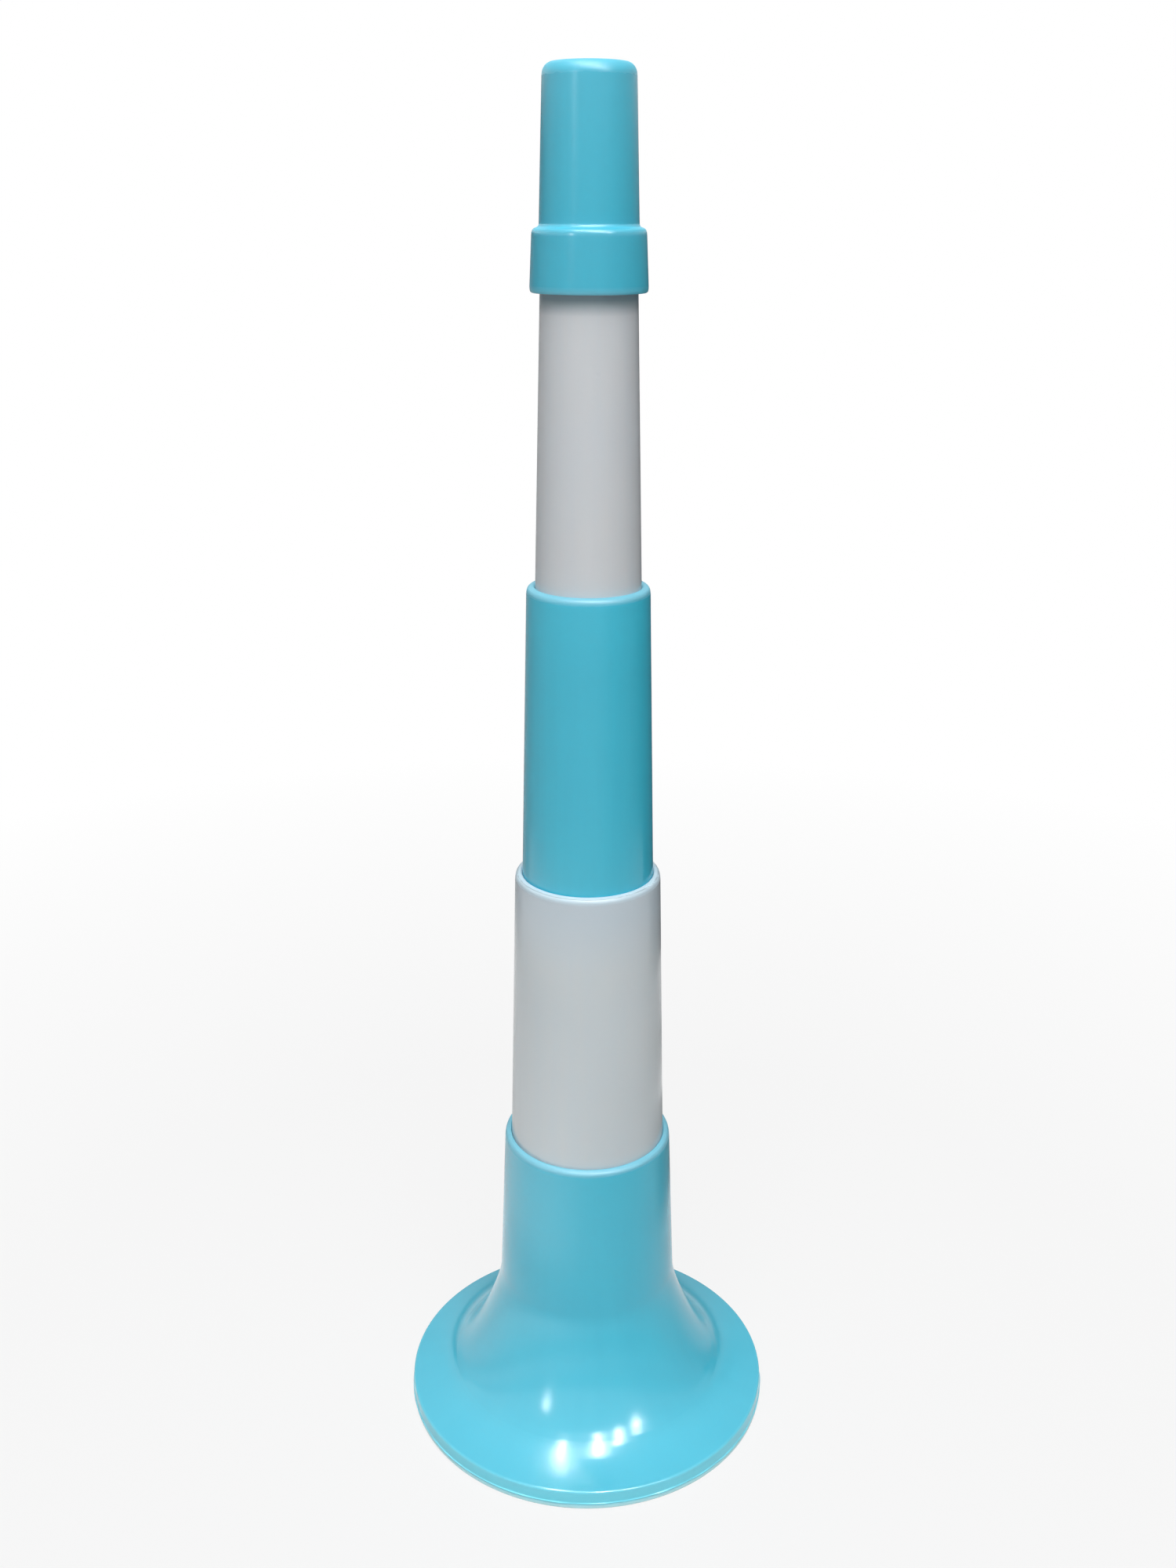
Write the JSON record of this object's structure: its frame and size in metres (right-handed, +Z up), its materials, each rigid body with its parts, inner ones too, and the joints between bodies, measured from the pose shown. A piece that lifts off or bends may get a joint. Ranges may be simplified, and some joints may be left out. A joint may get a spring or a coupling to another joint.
{
  "type": "telescopic stadium horn",
  "caption": "Telescopic plastic stadium horn: a flared bell, tapered tubes that slide into each other and a mouthpiece with a beating reed.",
  "frame": {"origin": "middle of the circle on which the bell's lip stands", "axes": "+Z up along the horn's axis, from the bell to the mouthpiece; -Y is the side of the reed's tongue"},
  "size_m": [0.0544, 0.0544, 0.19],
  "materials": {
    "cyan_plastic": "glossy",
    "white_plastic": "glossy",
    "ivory_plastic": "satin",
    "brass_strip": "satin"
  },
  "bodies": {
    "bell": {"bell": "cyan_plastic"},
    "lower_tube": {"lower_tube": "white_plastic"},
    "middle_tube": {"middle_tube": "cyan_plastic"},
    "upper_section": {"upper_tube": "white_plastic", "mouthpiece": "cyan_plastic", "reed_body": "ivory_plastic", "reed_clamp_ring": "ivory_plastic"},
    "reed_tongue": {"reed_tongue": "brass_strip"}
  },
  "joints": [
    {"name": "lower_tube_slide", "type": "slide", "parent": "bell", "child": "lower_tube", "axis": [0, 0, 1], "range_m": [-0.03855, 0]},
    {"name": "middle_tube_slide", "type": "slide", "parent": "lower_tube", "child": "middle_tube", "axis": [0, 0, 1], "range_m": [-0.0414, 0]},
    {"name": "upper_section_slide", "type": "slide", "parent": "middle_tube", "child": "upper_section", "axis": [0, 0, 1], "range_m": [-0.03615, 0]},
    {"name": "reed_tongue_flex", "type": "hinge", "parent": "upper_section", "child": "reed_tongue", "pos_m": [0, -0.0013, 0.1749], "axis": [1, 0, 0], "range_deg": [-3, 2], "stiffness_Nm_per_rad": 0.0002}
  ]
}
